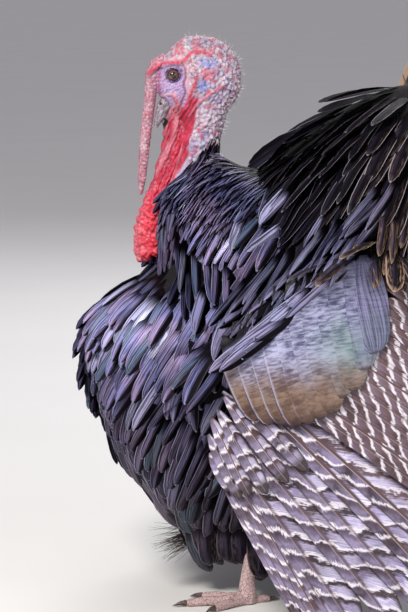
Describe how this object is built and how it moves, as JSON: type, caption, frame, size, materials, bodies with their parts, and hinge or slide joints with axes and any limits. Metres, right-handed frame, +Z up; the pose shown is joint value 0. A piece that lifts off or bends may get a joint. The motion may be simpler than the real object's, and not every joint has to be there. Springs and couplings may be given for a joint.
{
  "type": "wild turkey",
  "caption": "Life-size wild turkey tom strutting: puffed dark bronze plumage, raised tail fan, drooped barred wings, bare red and blue head with hanging snood, tuft of bristles at the breast.",
  "frame": {"origin": "on the floor, below the middle of the box round the whole bird", "axes": "+Z up; the bird faces -X and its left side is -Y"},
  "size_m": [0.5506, 0.7314, 0.7969],
  "materials": {
    "plumage": "iridescent near-black body feathers",
    "bronze": "bronze and silver-blue metallic sheen",
    "barred": "barred flight feathers, satin",
    "tail": "brown-black vanes with buff tips, satin",
    "face": "bare wrinkled skin, satin",
    "wattle": "bare swollen red skin, slightly moist",
    "bill": "horn, satin",
    "eye": "moist, glossy",
    "leg": "scaled, matte",
    "claw": "horn, satin",
    "beard": "coarse bristle, matte"
  },
  "bodies": {
    "root": {"beard": "beard", "bill_lower": "bill", "bill_upper": "bill", "breast": "plumage", "claw_hind_left": "claw", "claw_hind_right": "claw", "claw_inner_left": "claw", "claw_inner_right": "claw", "claw_middle_left": "claw", "claw_middle_right": "claw", "claw_outer_left": "claw", "claw_outer_right": "claw", "eye_left": "eye", "eye_right": "eye", "foot_left": "leg", "foot_right": "leg", "head": "face", "mantle": "plumage", "neck": "face", "rump": "plumage", "shank_left": "leg", "shank_right": "leg", "snood": "wattle", "spur_left": "claw", "spur_right": "claw", "tail_coverts": "tail", "tail_fan": "tail", "thigh_left": "plumage", "thigh_right": "plumage", "trunk": "plumage", "undertail": "plumage", "wattle": "wattle", "wing_left_alula": "barred", "wing_left_arm": "plumage", "wing_left_panel": "bronze", "wing_left_primaries": "barred", "wing_left_secondaries": "barred", "wing_right_alula": "barred", "wing_right_arm": "plumage", "wing_right_panel": "bronze", "wing_right_primaries": "barred", "wing_right_secondaries": "barred"}
  },
  "joints": []
}
